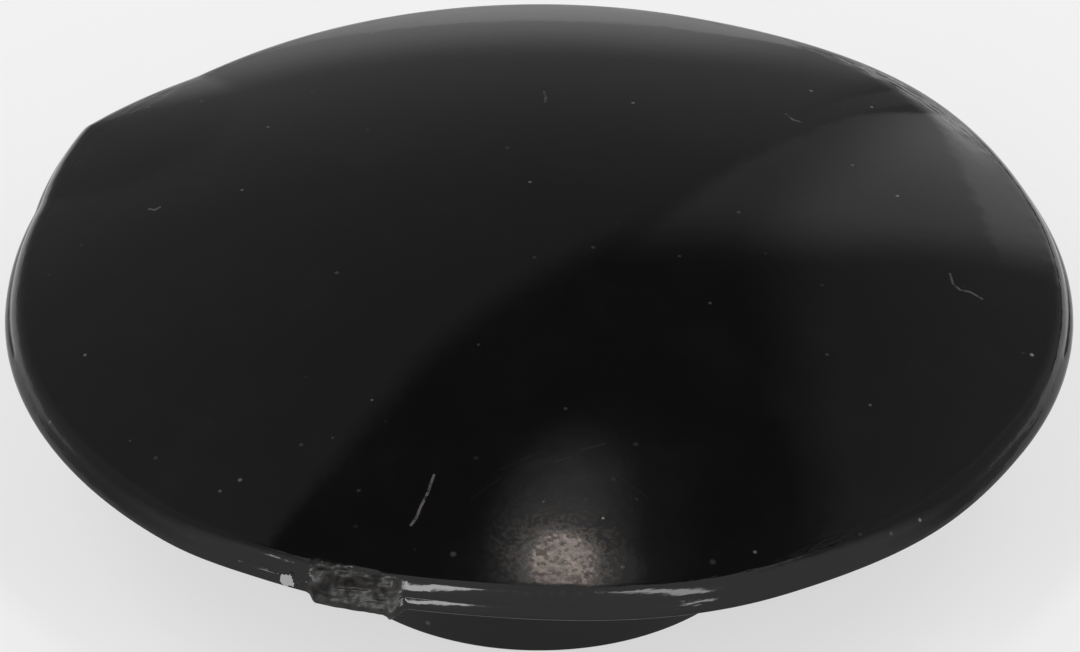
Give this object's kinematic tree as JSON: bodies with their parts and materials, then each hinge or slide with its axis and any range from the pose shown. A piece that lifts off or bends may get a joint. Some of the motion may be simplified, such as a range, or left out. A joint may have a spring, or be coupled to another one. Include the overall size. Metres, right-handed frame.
{
  "type": "rubber cover cap",
  "caption": "Round black rubber cover cap with a low domed head, a thin sealing lip and a short hollow spigot that presses into a hole to close it.",
  "frame": {"origin": "centre of the bounding box's bottom, where the spigot's axis meets the plane of its end", "axes": "+Z along the spigot's axis towards the domed face, +X to the right and +Y away from the viewer in the picture"},
  "size_m": [0.03, 0.03, 0.0102],
  "materials": {
    "rubber": "glossy moulded black, with fine scratches and dust"
  },
  "bodies": {
    "root": {"cover_cap": "rubber"}
  },
  "joints": []
}
